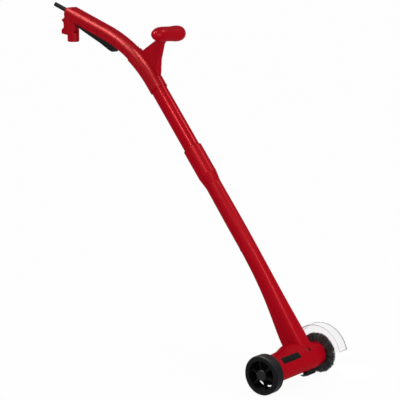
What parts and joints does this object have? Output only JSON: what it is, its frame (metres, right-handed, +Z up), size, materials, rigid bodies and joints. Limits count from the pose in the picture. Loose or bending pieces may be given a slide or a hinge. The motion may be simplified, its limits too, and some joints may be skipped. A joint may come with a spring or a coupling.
{
  "type": "electric patio cleaner",
  "caption": "Long-handled electric patio joint cleaner: angled shaft, rear grip with trigger, T-shaped support handle, guide wheel and a guarded round brush on a barrel-shaped head.",
  "frame": {"origin": "on the paving, below the spindle axis, in the plane of the shaft", "axes": "+X forward, away from the user; +Y along the spindle from the shaft to the brush; +Z up"},
  "size_m": [0.8706, 0.2571, 0.8767],
  "materials": {
    "red_plastic": "gloss moulding",
    "painted_tube": "gloss paint",
    "black_plastic": "satin moulding",
    "dark_plastic": "satin moulding",
    "tread_rubber": "matte",
    "clear_plastic": "clear",
    "label_film": "satin film, bare",
    "bristle": "filament",
    "steel": "machined",
    "motor_iron": "laminated",
    "copper": "turned",
    "carbon": "pressed"
  },
  "bodies": {
    "body": {"head_front_shell": "red_plastic", "head_rear_shell": "red_plastic", "head_screws": "steel", "label_plate": "label_film", "nose_cap": "red_plastic", "splash_guard": "clear_plastic", "inner_spindle_bearing": "steel", "outer_spindle_bearing": "steel", "ring_gear": "dark_plastic", "motor_can": "steel", "motor_end_bell": "dark_plastic", "motor_stator": "motor_iron", "carbon_brushes": "carbon", "axle_plate": "black_plastic", "wheel_axle": "steel", "axle_washer": "steel", "middle_tube": "painted_tube", "grip_left_shell": "red_plastic", "grip_right_shell": "red_plastic", "grip_screws": "steel", "cable_boot": "tread_rubber", "trigger_pin": "steel", "trigger_spring": "steel", "switch_body": "dark_plastic", "capacitor": "dark_plastic", "support_saddle": "red_plastic", "support_clamp": "red_plastic", "support_screws": "steel", "inner_lead": "tread_rubber", "terminal_block": "dark_plastic"},
    "spindle": {"spindle": "steel", "planet_carrier": "steel", "brush_hub": "black_plastic", "brush_bristles": "bristle", "brush_clamp_disc": "steel", "brush_nut": "steel"},
    "rotor": {"motor_rotor": "motor_iron", "commutator": "copper", "sun_gear": "steel"},
    "planet_1": {"planet_gear_1": "dark_plastic"},
    "planet_2": {"planet_gear_2": "dark_plastic"},
    "planet_3": {"planet_gear_3": "dark_plastic"},
    "wheel": {"wheel_rim": "black_plastic", "wheel_tyre": "tread_rubber", "hub_cap": "dark_plastic"},
    "trigger": {"trigger": "black_plastic"},
    "lock_button": {"lock_button": "black_plastic"}
  },
  "joints": [
    {"name": "brush_spin", "type": "hinge", "parent": "body", "child": "spindle", "pos_m": [0, 0.05, 0.05], "axis": [0, 1, 0], "continuous": true},
    {"name": "rotor_spin", "type": "hinge", "parent": "body", "child": "rotor", "pos_m": [0, -0.09, 0.05], "axis": [0, 1, 0], "continuous": true},
    {"name": "planet_1_spin", "type": "hinge", "parent": "spindle", "child": "planet_1", "pos_m": [0.015, -0.042, 0.05], "axis": [0, 1, 0], "continuous": true},
    {"name": "planet_2_spin", "type": "hinge", "parent": "spindle", "child": "planet_2", "pos_m": [-0.0075, -0.042, 0.03701], "axis": [0, 1, 0], "continuous": true},
    {"name": "planet_3_spin", "type": "hinge", "parent": "spindle", "child": "planet_3", "pos_m": [-0.0075, -0.042, 0.06299], "axis": [0, 1, 0], "continuous": true},
    {"name": "wheel_spin", "type": "hinge", "parent": "body", "child": "wheel", "pos_m": [0, -0.1626, 0.0465], "axis": [0, 1, 0], "continuous": true},
    {"name": "trigger_press", "type": "hinge", "parent": "body", "child": "trigger", "pos_m": [-0.71042, 0, 0.82602], "axis": [0, -1, 0], "range_deg": [0, 3.5], "stiffness_Nm_per_rad": 6, "springref_deg": -1.72},
    {"name": "lock_press", "type": "slide", "parent": "body", "child": "lock_button", "axis": [-0.342, 0, 0.9397], "range_m": [0, 0.004], "stiffness_N_per_m": 600, "springref_m": -0.003}
  ],
  "couplings": [
    {"joint": "rotor_spin", "follows": "brush_spin", "ratio": 5},
    {"joint": "planet_1_spin", "follows": "brush_spin", "ratio": -2.6667},
    {"joint": "planet_2_spin", "follows": "brush_spin", "ratio": -2.6667},
    {"joint": "planet_3_spin", "follows": "brush_spin", "ratio": -2.6667}
  ]
}
